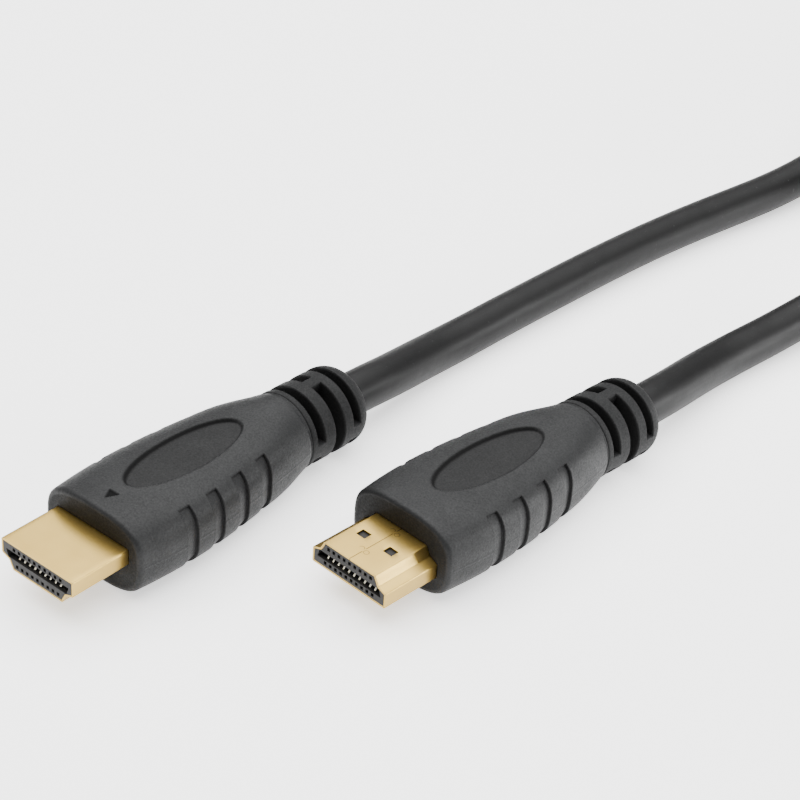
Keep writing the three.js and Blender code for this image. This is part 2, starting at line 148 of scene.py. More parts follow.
def point_outwards(piece):
    """Turns every face of a closed mesh to the outside."""
    work = bmesh.new()
    work.from_mesh(piece.data)
    bmesh.ops.recalc_face_normals(work, faces=work.faces)
    work.to_mesh(piece.data)
    work.free()


def tube_faces(rows, columns, across=None, along=None, caps=True):
    """Faces of a grid that closes round its columns. The two ends are closed by one flat face
    each. With across and along, the UV of each corner is (across[column], along[row])."""
    row, column = np.meshgrid(np.arange(rows - 1), np.arange(columns), indexing="ij")
    beside = (column + 1) % columns
    quads = np.stack([row * columns + column, row * columns + beside,
                      (row + 1) * columns + beside, (row + 1) * columns + column], -1)
    faces = quads.reshape(-1, 4).tolist()
    uv = None
    if across is not None:
        u = np.stack([across[column], across[column + 1], across[column + 1], across[column]], -1)
        v = np.stack([along[row], along[row], along[row + 1], along[row + 1]], -1)
        uv = np.stack([u, v], -1).reshape(-1, 2)
    if caps:
        faces.append(list(range(columns))[::-1])
        faces.append(list(range((rows - 1) * columns, rows * columns)))
        if uv is not None:
            ends = np.zeros((2 * columns, 2))
            ends[:, 0] = np.tile(across[:columns], 2)
            ends[:, 1] = np.repeat([along[0], along[-1]], columns)
            uv = np.concatenate([uv, ends])
    return faces, uv


def sweep(path, section, up):
    """Carries a flat section along a path: at each point the section's first number goes
    sideways, across both the path and the up direction, and its second along the direction
    that is square to both."""
    ahead = np.gradient(path, axis=0)
    ahead /= np.linalg.norm(ahead, axis=1, keepdims=True)
    side = np.cross(ahead, up)
    side /= np.linalg.norm(side, axis=1, keepdims=True)
    top = np.cross(side, ahead)
    return (path[:, None, :] + section[None, :, :1] * side[:, None, :]
            + section[None, :, 1:] * top[:, None, :])


def round_corners(corners, radii, steps=6):
    """A closed outline, anticlockwise, whose corners are arcs of the given radii."""
    outline = []
    count = len(corners)
    for k in range(count):
        before, corner, after = (np.array(corners[(k + d) % count], float) for d in (-1, 0, 1))
        into = (corner - before) / np.linalg.norm(corner - before)
        out = (after - corner) / np.linalg.norm(after - corner)
        turn = math.atan2(into[0] * out[1] - into[1] * out[0], into @ out)
        reach = radii[k] * math.tan(abs(turn) / 2)
        side = np.array([-into[1], into[0]]) * math.copysign(1.0, turn)
        centre = corner - into * reach + side * radii[k]
        for share in np.linspace(0.0, 1.0, steps):
            angle = turn * share
            arm = -side * radii[k]
            c, s = math.cos(angle), math.sin(angle)
            outline.append(centre + np.array([arm[0] * c - arm[1] * s, arm[0] * s + arm[1] * c]))
    return np.array(outline)


# Camera, at the photograph's angle

FOCUS = np.array([7.093, 65.836, 6.3]) * MM + FIRST_NOSE
AZIMUTH, ELEVATION, ROLL = 37.583, 33.701, 4.618
DISTANCE = 317.273 * MM
FOCAL_PIXELS, FRAME_PIXELS, SENSOR = 2107.858, 800, 36.0


def add_camera():
    """Looks at the focus from a turn, a height angle and a distance, then rolls about its line
    of sight. The focal length comes from the photograph's width in pixels."""
    a, e, r = (math.radians(v) for v in (AZIMUTH, ELEVATION, ROLL))
    back = np.array([math.sin(a) * math.cos(e), -math.cos(a) * math.cos(e), math.sin(e)])
    level = np.array([math.cos(a), math.sin(a), 0.0])
    raised = np.cross(back, level)
    right = math.cos(r) * level + math.sin(r) * raised
    up = math.cos(r) * raised - math.sin(r) * level
    data = bpy.data.cameras.new("camera")
    data.sensor_width = SENSOR
    data.lens = FOCAL_PIXELS / FRAME_PIXELS * SENSOR
    data.clip_start, data.clip_end = 0.01, 10.0
    camera = bpy.data.objects.new("camera", data)
    turn = Matrix([list(row) for row in np.stack([right, up, back], -1)])
    camera.matrix_world = Matrix.Translation(FOCUS + DISTANCE * back) @ turn.to_4x4()
    bpy.context.scene.collection.objects.link(camera)
    bpy.context.scene.camera = camera


add_camera()


# Cable, from the first plug through the hank to the second

FALL_LENGTH = 29.0 * MM
CABLE_START, CABLE_EXIT = 58.6 * MM, 60.3 * MM
# Heights and places of the hank: a stack of oblong turns, whose straight runs lie along y
LYING = 3.5 * MM
RUN_LEFT = 9.5 * MM
FOLD = 20.4 * MM
RUN_RIGHT = RUN_LEFT + 2 * FOLD
HANK_NEAR, HANK_FACE = 212.3 * MM, 188.2 * MM
HANK_FAR = 279.7 * MM
LAYERS = 3
FIRST_LAYER = 4.7 * MM
DIAMETER = 2 * CABLE_RADIUS
RUN_POINTS, FIRST_RUN_LEAD = 8, 0.3 * MM
FOLD_RISE_FROM, FOLD_RISE_SHARE = 0.1, 0.65
CLIMB_START = np.array([34.35, 125.0]) * MM
CLIMB_HEADING = 0.11
# Where the cable runs behind each plug, across and along in the plug's frame, in millimetres
BEHIND = {"a": [[0.93, 64.5], [0.88, 68.6], [0.55, 73.7], [0.08, 79], [-0.18, 84.2], [-0.08, 90],
                [0.31, 99.6], [0.84, 109.8], [1.46, 120.3], [2.25, 131], [3.35, 141.7],
                [4.85, 152.5], [6.75, 164]],
          "b": [[0.5, 64.5], [0.15, 68.8], [-0.5, 73.7], [-1.3, 79.5], [-1.75, 85.4],
                [-1.7, 91]]}
INTO_HANK = np.array([[8.35, 174, 3.75], [9.3, 182, 4.3]]) * MM


def layer_height(layer):
    """Height of the cable's centre line in a layer of the hank."""
    return FIRST_LAYER + layer * DIAMETER


def two_arcs(t):
    """Share of a climb made of two equal arcs: the first half bends up and the second back."""
    t = np.clip(t, 0.0, 1.0)
    return np.where(t < 0.5, 2 * t * t, 1 - 2 * (1 - t) ** 2)


def fall_points(plug):
    """From inside a plug's strain relief down to the floor: the places across and along the plug
    are given, and the height eases down from the axis over the fall's length."""
    behind = np.array(BEHIND[plug]) * MM
    start = [[lean_at(y, plug), y] for y in (CABLE_START, CABLE_EXIT)]
    across, along = np.concatenate([start, behind]).T
    height = AXIS_HEIGHT + (LYING - AXIS_HEIGHT) * ease((along - CABLE_EXIT) / FALL_LENGTH)
    return np.stack([across, along, height], -1)


def climb_points():
    """Sideways and up to the hank's top layer, along two equal arcs."""
    t = np.linspace(0.0, 1.0, 10)
    y = CLIMB_START[1] + (HANK_FACE - CLIMB_START[1]) * t
    ahead = CLIMB_HEADING * (y - CLIMB_START[1]) * (1 - t) ** 2
    x = CLIMB_START[0] + (RUN_RIGHT - CLIMB_START[0]) * two_arcs(t) + ahead
    z = LYING + (layer_height(LAYERS - 1) - LYING) * two_arcs(t)
    return np.stack([x, y, z], -1)


def run(x, start, end, layer):
    """A straight run of the hank at one layer, both ends left out."""
    y = np.linspace(start, end, RUN_POINTS + 2)[1:-1]
    height = layer_height(layer)
    return np.stack([np.full(RUN_POINTS, x), y, np.full(RUN_POINTS, height)], -1)


def fold_points(centre, side, layer, rise):
    """Half a circle at one end of the hank. Where it rises, it does so in the middle of the
    fold, so that it stays a diameter from the runs under it."""
    t = np.linspace(0.0, 1.0, 17)
    angle = math.pi * (1 - t) if side > 0 else -math.pi * t
    x = RUN_LEFT + FOLD + FOLD * np.cos(angle)
    y = centre + FOLD * np.sin(angle)
    z = layer_height(layer) + rise * DIAMETER * two_arcs((t - FOLD_RISE_FROM) / FOLD_RISE_SHARE)
    return np.stack([x, y, z], -1)


def cable_route():
    """The cable's centre line from the first plug to the second, as points to pass through."""
    route = [fall_points("a"), INTO_HANK]
    for layer in range(LAYERS):
        start = HANK_FACE - FIRST_RUN_LEAD if layer == 0 else HANK_NEAR
        route += [run(RUN_LEFT, start, HANK_FAR, layer),
                  fold_points(HANK_FAR, 1, layer, 0),
                  run(RUN_RIGHT, HANK_FAR, HANK_NEAR if layer < LAYERS - 1 else HANK_FACE, layer)]
        if layer < LAYERS - 1:
            route.append(fold_points(HANK_NEAR, -1, layer, 1))
    x, y, degrees, _ = PLUG_PLACES["b"]
    second = fall_points("b") @ turned_by(degrees) + np.array([x, y, 0.0])
    route += [climb_points()[::-1], second[::-1]]
    return np.concatenate(route) + FIRST_NOSE


def distance_along(points):
    """Distance of each point from the first, along the straight lines between them."""
    return np.concatenate([[0.0], np.cumsum(np.linalg.norm(np.diff(points, axis=0), axis=1))])


def even_line(points, spacing):
    """A smooth line through the points, at even distances: a spline over the chord lengths."""
    chords = distance_along(points)
    fine = spline(chords, points, np.linspace(0.0, chords[-1], FINE_POINTS))
    length = distance_along(fine)
    even = np.linspace(0.0, length[-1], int(length[-1] / spacing) + 1)
    return np.stack([np.interp(even, length, fine[:, k]) for k in range(3)], -1), length[-1]


FINE_POINTS, CABLE_SPACING, CABLE_SIDES = 6000, 1.3 * MM, 36
WIRE_PRESS, WIRE_TWIST, PRESS_WAVES = 0.012 * MM, 6.5 * MM, (11.3 * MM, 27.0 * MM)
cable_line, cable_length = even_line(cable_route(), CABLE_SPACING)


def make_cable():
    """A round tube along the cable's line. Its radius swells and shrinks by a few hundredths of
    a millimetre along a slow spiral, as the wires inside press on the sheath."""
    around = np.linspace(0.0, 2 * math.pi, CABLE_SIDES + 1)[:-1]
    ring = np.stack([np.cos(around), np.sin(around)], -1)
    grid = sweep(cable_line, ring * CABLE_RADIUS, np.array([0.0, 0.0, 1.0]))
    along = np.linspace(0.0, cable_length, len(cable_line))
    spiral = np.sin(2 * around[None, :] + along[:, None] / WIRE_TWIST)
    press = np.sin(along / PRESS_WAVES[0]) * np.sin(along / PRESS_WAVES[1] + 1.0)
    swell = WIRE_PRESS * spiral + WIRE_PRESS * press[:, None]
    out = (grid - cable_line[:, None, :]) / CABLE_RADIUS
    grid = grid + out * swell[:, :, None]
    turn = np.linspace(0.0, 1.0, CABLE_SIDES + 1)
    faces, uv = tube_faces(len(cable_line), CABLE_SIDES, turn, along)
    piece = make_piece("cable", grid, faces, uv)
    point_outwards(piece)
    return piece


cable = make_cable()


# Grip and strain relief

# Half widths of the grip at distances from the nose
WIDTH_AT = np.array([[9.8, 9.2], [14.0, 9.7], [20.0, 10.0], [26.0, 9.78], [32.0, 9.15],
                     [36.5, 8.5], [40.5, 7.85], [43.5, 7.25], [46.6, 6.42]]) * MM
NOTCH_REARS = (20.1 + 5.3 * np.arange(4)) * MM
NOTCH_LENGTH, NOTCH_DEPTH, NOTCH_START, NOTCH_REACH = 2.0 * MM, 0.45 * MM, 0.1 * MM, 4.75 * MM
OVAL_FROM, OVAL_TO, OVAL_HALF, OVAL_DEPTH = 16.3 * MM, 38.0 * MM, 3.9 * MM, 0.4 * MM
ARROW_TIP, ARROW_LENGTH, ARROW_HALF, ARROW_DEPTH = 12.2 * MM, 1.8 * MM, 0.9 * MM, 0.3 * MM
# Middle and width of each ring of slots, the radius left under them, and their webs' angles
SLOTS = ((48.7 * MM, 1.5 * MM), (52.65 * MM, 1.95 * MM), (56.15 * MM, 1.4 * MM))
SLOT_CORE, SIDE_WEB, SIDE_WEB_DROP, END_WEB = 3.7 * MM, *np.radians([27.0, 12.0, 19.0])
NECK_RADIUS, SLEEVE_START, SLEEVE_ROUNDING = 6.2 * MM, 46.9 * MM, 2.6 * MM
MOUTH_RADIUS, BORE_RADIUS, BORE_END = 4.2 * MM, 3.46 * MM, 58.4 * MM
BORE_ROWS = 4
RIM, FRONT_FLARE, SLEEVE_EDGE = 0.7 * MM, 0.08 * MM, 0.18 * MM
TAIL_START, TAIL_LENGTH = 38.0 * MM, 8.6 * MM
# Exponents of the section's superellipse: 2 is round, and more is boxier
BODY_POWER, TAIL_POWER, ROUND = 3.0, 2.05, 2.0
PARTING_HEIGHT, PARTING_HALF = 0.03 * MM, 0.22 * MM
BROAD_FACE = 4.0 * MM
POCKET_GAP, LIP_GAP = 0.06 * MM, 0.14 * MM
# How strongly painted shade darkens the front faces, the whole strain relief and a line at the
# grip's end
FRONT_SHADE, SLEEVE_SHADE, NECK_SHADE = 0.3, 0.35, 0.3


def plug_corners(inset):
    """The plug's outline, anticlockwise with its wide side up, moved in by a distance."""
    half, high, side, ledge, drop, narrow = (v * MM for v in (6.95, 2.225, 2.45, 5.55, 3.0, 4.8))
    right = [(narrow, -high), (ledge, high - drop), (half, high - side), (half, high)]
    corners = np.array(right + [(-x, z) for x, z in right[::-1]])
    moved = []
    for k in range(len(corners)):
        before, corner, after = (corners[(k + d) % len(corners)] for d in (-1, 0, 1))
        into = (corner - before) / np.linalg.norm(corner - before)
        out = (after - corner) / np.linalg.norm(after - corner)
        half_turn = (into[0] * out[1] - into[1] * out[0]) / (1 + into @ out)
        moved.append(corner + inset * np.array([-into[1], into[0]]) - into * inset * half_turn)
    return moved


# Radii of the bent sheet's eight corners
BEND = np.array([0.28, 0.22, 0.28, 0.26, 0.26, 0.28, 0.22, 0.28]) * MM


def polar_radius(outline, angles):
    """Distance from the axis to an outline in each of the given directions."""
    dense = np.concatenate([outline, outline[:1]])
    share = np.linspace(0.0, 1.0, 40)[None, :, None]
    dense = (dense[:-1, None, :] * (1 - share) + dense[1:, None, :] * share).reshape(-1, 2)
    at = np.arctan2(dense[:, 1], dense[:, 0])
    order = np.argsort(at)
    return np.interp(angles, at[order], np.hypot(*dense.T)[order], period=2 * math.pi)


def round_angles():
    """Directions round the section, closest together over the broad faces, where the oval's
    edge runs, and at the ends of the finger grips and slots."""
    side = [0, 0.7, 1.4, 2.2, 4, 7, 10, 13, 15, 15.8, 16.6, 17.4, 18.2, 19, 21, 24, 27]
    quarter = np.concatenate([side, np.arange(29.0, 38.0, 0.8), np.linspace(38.0, 90.0, 48)])
    angles = np.concatenate([quarter, 180 - quarter, 180 + quarter, 360 - quarter]) % 360
    return np.radians(np.unique(np.round(angles, 6)))


def grip_rows():
    """Rows along the grip and its strain relief, each as distance, half width, half height and
    roundness exponent. They are close together wherever a step or an edge runs across."""
    oval = np.arange(16.1, 38.3, 0.19)
    arrow = np.arange(12.0, 14.3, 0.13)
    plain = np.concatenate([np.arange(10.6, 16.0, 0.4), np.arange(38.5, 46.2, 0.35)])
    beside_edges = (-2.05, -2.0, -1.95, -0.06, -0.02, 0.02, 0.06)
    edges = [rear + offset for rear in NOTCH_REARS / MM for offset in beside_edges]
    body = np.unique(np.concatenate([oval, arrow, plain, edges]))
    body = body[np.concatenate([[True], np.diff(body) > 0.025])] * MM
    half = spline(WIDTH_AT[:, 0], WIDTH_AT[:, 1], body)[:, 0]
    # The tail turns little by little from a flat section into the round neck
    into_neck = ease((body - TAIL_START) / TAIL_LENGTH)
    tall = GRIP_HALF_HEIGHT + (NECK_RADIUS - GRIP_HALF_HEIGHT) * into_neck
    power = BODY_POWER + (TAIL_POWER - BODY_POWER) * into_neck
    rows = []
    for turn in np.radians([0, 15, 30, 45, 60, 75, 90]):
        y = SHELL_FACE + RIM * (1 - math.cos(turn))
        inset = RIM * (1 - math.sin(turn))
        wide = WIDTH_AT[0, 1] + FRONT_FLARE - inset
        rows.append([y, wide, GRIP_HALF_HEIGHT - inset, BODY_POWER])
    rows += np.stack([body, half, tall, power], -1).tolist()
    neck = np.array([46.4, 46.5, 46.56, 46.6, 46.64, 46.7, 46.8]) * MM
    rows += [[y, NECK_RADIUS, NECK_RADIUS, ROUND] for y in neck]
    for turn in np.radians([0, 30, 60, 90]):
        y = SLEEVE_START + SLEEVE_EDGE * (1 - math.cos(turn))
        radius = SLEEVE_RADIUS - SLEEVE_EDGE * (1 - math.sin(turn))
        rows.append([y, radius, radius, ROUND])
    offsets = np.array([-0.75, -0.45, -0.2, -0.1, -0.05, 0.0, 0.05, 0.1, 0.2, 0.4])
    near_slots = [at / MM + side * (width / MM / 2 + offsets)
                  for at, width in SLOTS for side in (-1, 1)]
    sleeve = np.unique(np.round(np.concatenate(near_slots), 4)) * MM
    sleeve = sleeve[sleeve < SLEEVE_END - SLEEVE_ROUNDING]
    rows += [[y, SLEEVE_RADIUS, SLEEVE_RADIUS, ROUND] for y in sleeve]
    for turn in np.radians(np.linspace(0, 90, 14)):
        y = SLEEVE_END - SLEEVE_ROUNDING * (1 - math.sin(turn))
        radius = SLEEVE_RADIUS - (SLEEVE_RADIUS - MOUTH_RADIUS) * (1 - math.cos(turn))
        rows.append([y, radius, radius, ROUND])
    inwards = [[SLEEVE_END, 3.62], [SLEEVE_END - 0.05 * MM, 3.51], [SLEEVE_END - 0.2 * MM, 3.46],
               [BORE_END, BORE_RADIUS / MM]]
    rows += [[y, radius * MM, radius * MM, ROUND] for y, radius in inwards]
    return np.array(rows)


def notch_depth(y, z):
    """Depth of the finger grips: each starts with a faint step, sinks evenly towards its rear
    edge and ends there in a sharp step. Above and below its reach there is none."""
    depth = np.zeros(np.broadcast(y, z).shape)
    for rear in NOTCH_REARS:
        front = rear - NOTCH_LENGTH
        inside = step_at(y, front, 0.08 * MM) * (1 - step_at(y, rear, 0.1 * MM))
        share = np.clip((y - front) / NOTCH_LENGTH, 0, 1)
        depth = depth + inside * (NOTCH_START + (NOTCH_DEPTH - NOTCH_START) * share)
    return depth * (1 - step_at(np.abs(z), NOTCH_REACH, 0.14 * MM))


def notch_shade(y, z):
    """How dark the corners of the finger grips are: one line along the rear edge, one along the
    front edge and a stronger one above and below. Each line fades out as a bell."""
    z = np.abs(z)
    shade = np.zeros(np.broadcast(y, z).shape)
    beside = 1 - step_at(z, NOTCH_REACH + 0.1 * MM, 0.2 * MM)
    for rear in NOTCH_REARS:
        front = rear - NOTCH_LENGTH
        between = step_at(y, front, 0.1 * MM) * (1 - step_at(y, rear + 0.05 * MM, 0.1 * MM))
        rear_line = 0.42 * bell(y - rear + 0.03 * MM, 0.08 * MM) * beside
        front_line = 0.4 * bell(y - front, 0.08 * MM) * beside
        short_line = 0.65 * bell(z - NOTCH_REACH, 0.13 * MM) * between
        shade = np.maximum(shade, np.maximum(rear_line, np.maximum(front_line, short_line)))
    return shade


def slot_depth(y, angle, radius, up):
    """Depth of the slots in the strain relief. Each ring is cut down to the core all round but
    for two webs: at the sides, a little below the middle, in the outer rings, and at the top and
    bottom in the middle ring."""
    depth = np.zeros(np.broadcast(y, angle).shape)
    for ring, (at, width) in enumerate(SLOTS):
        if ring % 2:
            from_web = np.arccos(np.clip(np.abs(np.sin(angle)), 0, 1)) - END_WEB / 2
        else:
            from_side = np.arctan2(np.sin(angle) * up, np.abs(np.cos(angle)))
            from_web = np.abs(from_side + SIDE_WEB_DROP) - SIDE_WEB / 2
        open_slot = ease(from_web / math.radians(2.0) + 0.5)
        across = width / 2 + 0.02 * MM - np.abs(y - at)
        depth = depth + open_slot * ease(across / (0.12 * MM) + 0.5)
    return depth * np.maximum(radius - SLOT_CORE, 0.0)


def outside_oval(x, y):
    """Distance outside the oval on a broad face, below zero inside: the ellipse's own scaled
    radius less one, over its slope."""
    middle, reach = (OVAL_FROM + OVAL_TO) / 2, (OVAL_TO - OVAL_FROM) / 2
    scaled = np.hypot(x / OVAL_HALF, (y - middle) / reach)
    gradient = np.hypot(x / OVAL_HALF ** 2, (y - middle) / reach ** 2) / np.maximum(scaled, 1e-6)
    return (scaled - 1) / np.maximum(gradient, 1e-6)


def oval_shade(outside, x, up):
    """Dark line at the foot of the oval's wall, as a bell round the wall: wide on the side that
    faces away from the camera, and faint on the near side."""
    far = ease(0.5 - up * x / OVAL_HALF)
    width = (0.12 + 0.22 * far) * MM
    return (0.3 + 0.7 * far) * bell(outside + 0.1 * MM, width)


def arrow_mask(x, y):
    """1 inside the small arrow that points at the nose, from its three edges."""
    slope = ARROW_HALF / ARROW_LENGTH
    sides = ((y - ARROW_TIP) * slope - np.abs(x)) / math.hypot(1.0, slope)
    base = ARROW_TIP + ARROW_LENGTH - y
    return ease(np.minimum(sides, base) / (0.2 * MM) + 0.5)


def make_grip(plug):
    """One closed skin: out of the pocket that holds the shell, over the front face and the rim,
    along the grip with its section drawn as a superellipse, over the slotted strain relief and
    into the bore round the cable. Steps, oval and arrow move the skin inwards."""
    angles = round_angles()
    rows = grip_rows()
    y, half, tall, power = (rows[:, k:k + 1] for k in range(4))
    c, s = np.abs(np.cos(angles))[None, :], np.abs(np.sin(angles))[None, :]
    radius = ((c / half) ** power + (s / tall) ** power) ** (-1 / power)
    flat_z = radius * np.sin(angles)[None, :]
    on_grip = (y < GRIP_END) & (y > SHELL_FACE + RIM)
    parting = PARTING_HEIGHT * np.clip(1 - np.abs(flat_z) / PARTING_HALF, 0, 1) * on_grip
    notch = notch_depth(y, flat_z) * on_grip
    radius = radius + parting * (1 - ease(notch / (0.1 * MM)))
    up = -1.0 if PLUG_PLACES[plug][3] else 1.0
    on_sleeve = (y > SLEEVE_START) & (np.arange(len(rows))[:, None] < len(rows) - BORE_ROWS)
    slot = slot_depth(y, angles[None, :], radius, up) * on_sleeve
    radius = radius - notch - slot
    x, z = radius * np.cos(angles)[None, :], radius * np.sin(angles)[None, :]
    broad = on_grip * (np.abs(z) > BROAD_FACE)
    outside = outside_oval(x, y)
    oval = (1 - ease(outside / (0.2 * MM) + 0.5)) * broad
    arrow = arrow_mask(x, y) * broad * (z > 0) * (plug == "a")
    z = z - np.sign(z) * (OVAL_DEPTH * oval + ARROW_DEPTH * arrow)
    skin = np.stack([x, np.broadcast_to(y, x.shape), z], -1)
    pocket, lip = (polar_radius(round_corners(plug_corners(-gap), BEND + gap), angles)
                   for gap in (POCKET_GAP, LIP_GAP))
    rim = np.hypot(x[0], z[0])
    front = [(SHELL_LENGTH + 0.12 * MM, pocket), (SHELL_FACE + 0.15 * MM, pocket),
             (SHELL_FACE + 0.03 * MM, (pocket + lip) / 2)]
    front += [(SHELL_FACE, lip * (1 - t) + rim * t) for t in (0.0, 0.04, 0.2, 0.5, 0.8, 0.96)]
    inner = [np.stack([r * np.cos(angles), np.full(len(angles), at), r * np.sin(angles)], -1)
             for at, r in front]
    grid = np.concatenate([inner, skin])
    grid[:, :, 0] += up * lean_at(grid[:, :, 1], plug)
    faces, _ = tube_faces(len(grid), len(angles))
    piece = make_piece(f"grip_{plug}_skin", to_model(grid, plug), faces)
    # How much darker and smoother the skin is inside the finger grips, the oval and the arrow
    inside = ease(notch / NOTCH_DEPTH) * 0.3 + oval * 0.75 + arrow
    # Painted shade, kept in the dark attribute: dark lines in the corners of the finger grips and
    # oval and at the grip's end, dark slots and arrow, and front faces and strain relief darker
    # all over.
    dark = np.maximum(notch_shade(y, flat_z) * on_grip, ease(slot / (0.5 * MM)))
    dark = np.maximum(dark, np.maximum(oval_shade(outside, x, up) * broad, arrow * 0.8))
    dark = np.maximum(dark, NECK_SHADE * bell(y - GRIP_END, 0.12 * MM))
    dark = np.maximum(dark, SLEEVE_SHADE * on_sleeve)
    for name, values, at_front in (("recess_darkening", inside, 0.0), ("dark", dark, FRONT_SHADE)):
        whole = np.full(grid.shape[:2], at_front)
        whole[len(inner):] = np.clip(values, 0, 1)
        attribute = piece.data.attributes.new(name, "FLOAT", "POINT")
        attribute.data.foreach_set("value", whole.ravel().astype(np.float32))
    point_outwards(piece)
    return piece


grips = {plug: make_grip(plug) for plug in PLUG_PLACES}


# Shell, contacts and insulator

WINDOW_X, WINDOW_Y = (1.75 * MM, 3.35 * MM), (4.5 * MM, 5.9 * MM)
OUTLINE_STEP, SHEET_BEVEL = 0.6 * MM, 0.07 * MM
NARROW_SIDE = -2.0 * MM
# The seam's lines are drawn round u = 0, so the UV of every other side is moved this far off
SEAM_FREE = 0.1
SLOT_TOP, SLOT_BOTTOM = 0.845 * MM, -0.355 * MM
CONTACT_FROM, CONTACT_TO = 0.45 * MM, 8.1 * MM
CONTACT_HALF, CONTACT_THICK, CONTACT_BEVEL = 0.15 * MM, 0.06 * MM, 0.03 * MM
CONTACT_BOW, CONTACT_GAP = 0.44 * MM, 0.04 * MM


def make_shell(plug):
    """The bent sheet's outer skin, a grid of the outline and the length with two square windows
    left out in its narrow side. Solidify gives the wall, and Bevel its rounded edges."""
    corners = plug_corners(0.0)
    arcs = round_corners(corners, BEND)
    start = arcs[-1]
    outline = []
    for point in arcs:
        gap = point - start
        pieces = max(1, int(np.linalg.norm(gap) / OUTLINE_STEP))
        if abs(gap[1]) < 1e-9 and start[1] < 0 and np.linalg.norm(gap) > 5 * MM:
            right = [0.9 * MM, *WINDOW_X]
            stops = [-x for x in right[::-1]] + [0.0] + right
            outline += [np.array([stop, point[1]]) for stop in stops]
            outline.append(point)
        else:
            outline += [start + gap * (k + 1) / pieces for k in range(pieces)]
        start = point
    outline = np.array(outline)
    lengths = np.array([0, 0.1, 0.3, 1, 2, 3, 4, 4.5, 5.2, 5.9, 7, 8, 9, 10, 11, 12.3]) * MM
    grid = np.stack(np.broadcast_arrays(outline[:, 0], lengths[:, None], outline[:, 1]), -1)
    faces, _ = tube_faces(len(lengths), len(outline), caps=False)
    flat = grid.reshape(-1, 3)
    middles = flat[np.array(faces)].mean(axis=1)
    side = np.abs(middles[:, 0])
    open_window = ((middles[:, 2] < NARROW_SIDE) & (side > WINDOW_X[0]) & (side < WINDOW_X[1])
                   & (middles[:, 1] > WINDOW_Y[0]) & (middles[:, 1] < WINDOW_Y[1]))
    kept = [face for face, window in zip(faces, open_window) if not window]
    corner = np.array(kept)
    narrow = middles[~open_window][:, 2] < NARROW_SIDE
    uv = flat[corner][:, :, :2].copy()
    uv[:, :, 0] += np.where(narrow, 0.0, SEAM_FREE)[:, None]
    piece = make_piece(f"shell_{plug}_sheet", to_model(grid, plug).reshape(-1, 3), kept, uv)
    wall = piece.modifiers.new("wall", "SOLIDIFY")
    wall.thickness, wall.offset, wall.use_even_offset = SHEET, 1.0, True
    edge = piece.modifiers.new("edge", "BEVEL")
    edge.width, edge.segments, edge.limit_method = SHEET_BEVEL, 3, "ANGLE"
    edge.angle_limit = math.radians(50)
    return piece


def faces_outwards(piece):
    """True when the open skin faces away from the plug's axis."""
    mesh = piece.data
    middle = np.array([v.co for v in mesh.vertices]).mean(axis=0)
    face = max(mesh.polygons, key=lambda p: p.area)
    return (np.array(face.center) - middle) @ np.array(face.normal) > 0


shells = {plug: make_shell(plug) for plug in PLUG_PLACES}
for sheet_piece in shells.values():
    if faces_outwards(sheet_piece):
        sheet_piece.modifiers["wall"].offset = -1.0


def make_contacts(plug):
    """All springy strips of a plug. Each is a rounded bar carried along a line that follows the
    slot's wall, bows away from it towards the nose, and curls steeply back at its tip."""
    half, thick = CONTACT_HALF, CONTACT_THICK
    bar = round_corners([(-half, -thick), (half, -thick), (half, thick), (-half, thick)],
                        [CONTACT_BEVEL] * 4, 3)
    y = CONTACT_FROM + (CONTACT_TO - CONTACT_FROM) * np.linspace(0, 1, 34) ** 2.0
    curl = ease((y - CONTACT_FROM) / (0.5 * MM))
    bow = CONTACT_BOW * curl * (1 - ease((y - 1.0 * MM) / (3.0 * MM)))
    points, faces = [], []
    for count, wall, sign in ((10, SLOT_TOP, -1.0), (9, SLOT_BOTTOM, 1.0)):
        for x in (np.arange(count) - (count - 1) / 2) * MM:
            height = wall + sign * (CONTACT_GAP + thick + bow)
            line = np.stack([np.full(len(y), x), y, height], -1)
            strip = sweep(line, bar, np.array([0.0, 0.0, 1.0]))
            made, _ = tube_faces(len(y), len(bar))
            start = sum(len(p) for p in points)
            faces += [[k + start for k in face] for face in made]
            points.append(strip.reshape(-1, 3))
    piece = make_piece(f"contacts_{plug}", to_model(np.concatenate(points), plug), faces)
    point_outwards(piece)
    return piece


contacts = {plug: make_contacts(plug) for plug in PLUG_PLACES}


# Strap round the hank

# The lap is where a strap lies on itself, in shares of one turn
STRAP_MIDDLE, STRAP_HALF, STRAP_THICK = 246.0 * MM, 6.0 * MM, 0.62 * MM
STRAP_LOOPS, STRAP_TURN = 1.2, CABLE_RADIUS + 0.4 * MM
STRAP_GAP, LAP_GAP, LAP_FROM, LAP_RISE = 0.08 * MM, 0.04 * MM, 0.95, 0.05


